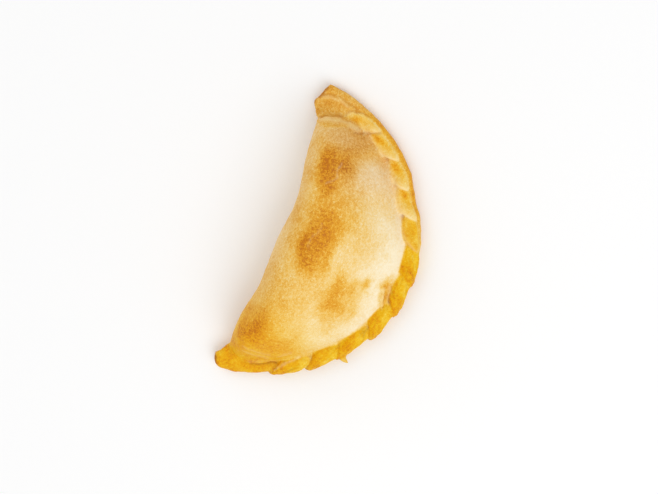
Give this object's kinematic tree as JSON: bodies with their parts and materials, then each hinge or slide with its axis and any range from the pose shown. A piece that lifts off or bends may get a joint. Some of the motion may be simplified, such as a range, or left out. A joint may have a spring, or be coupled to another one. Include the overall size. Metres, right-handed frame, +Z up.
{
  "type": "empanada",
  "caption": "Baked half-moon empanada with a browned crust and a rope-like crimped rim, lying flat.",
  "frame": {"origin": "on the surface that it lies on, under the centre of its bounding box", "axes": "+X from the nub end to the flap end, -Y to the crimped rim, +Y to the folded side, +Z up"},
  "size_m": [0.1244, 0.0652, 0.034],
  "materials": {
    "crust": "baked wheat crust, pale gold with brown patches, satin"
  },
  "bodies": {
    "root": {"empanada": "crust"}
  },
  "joints": []
}
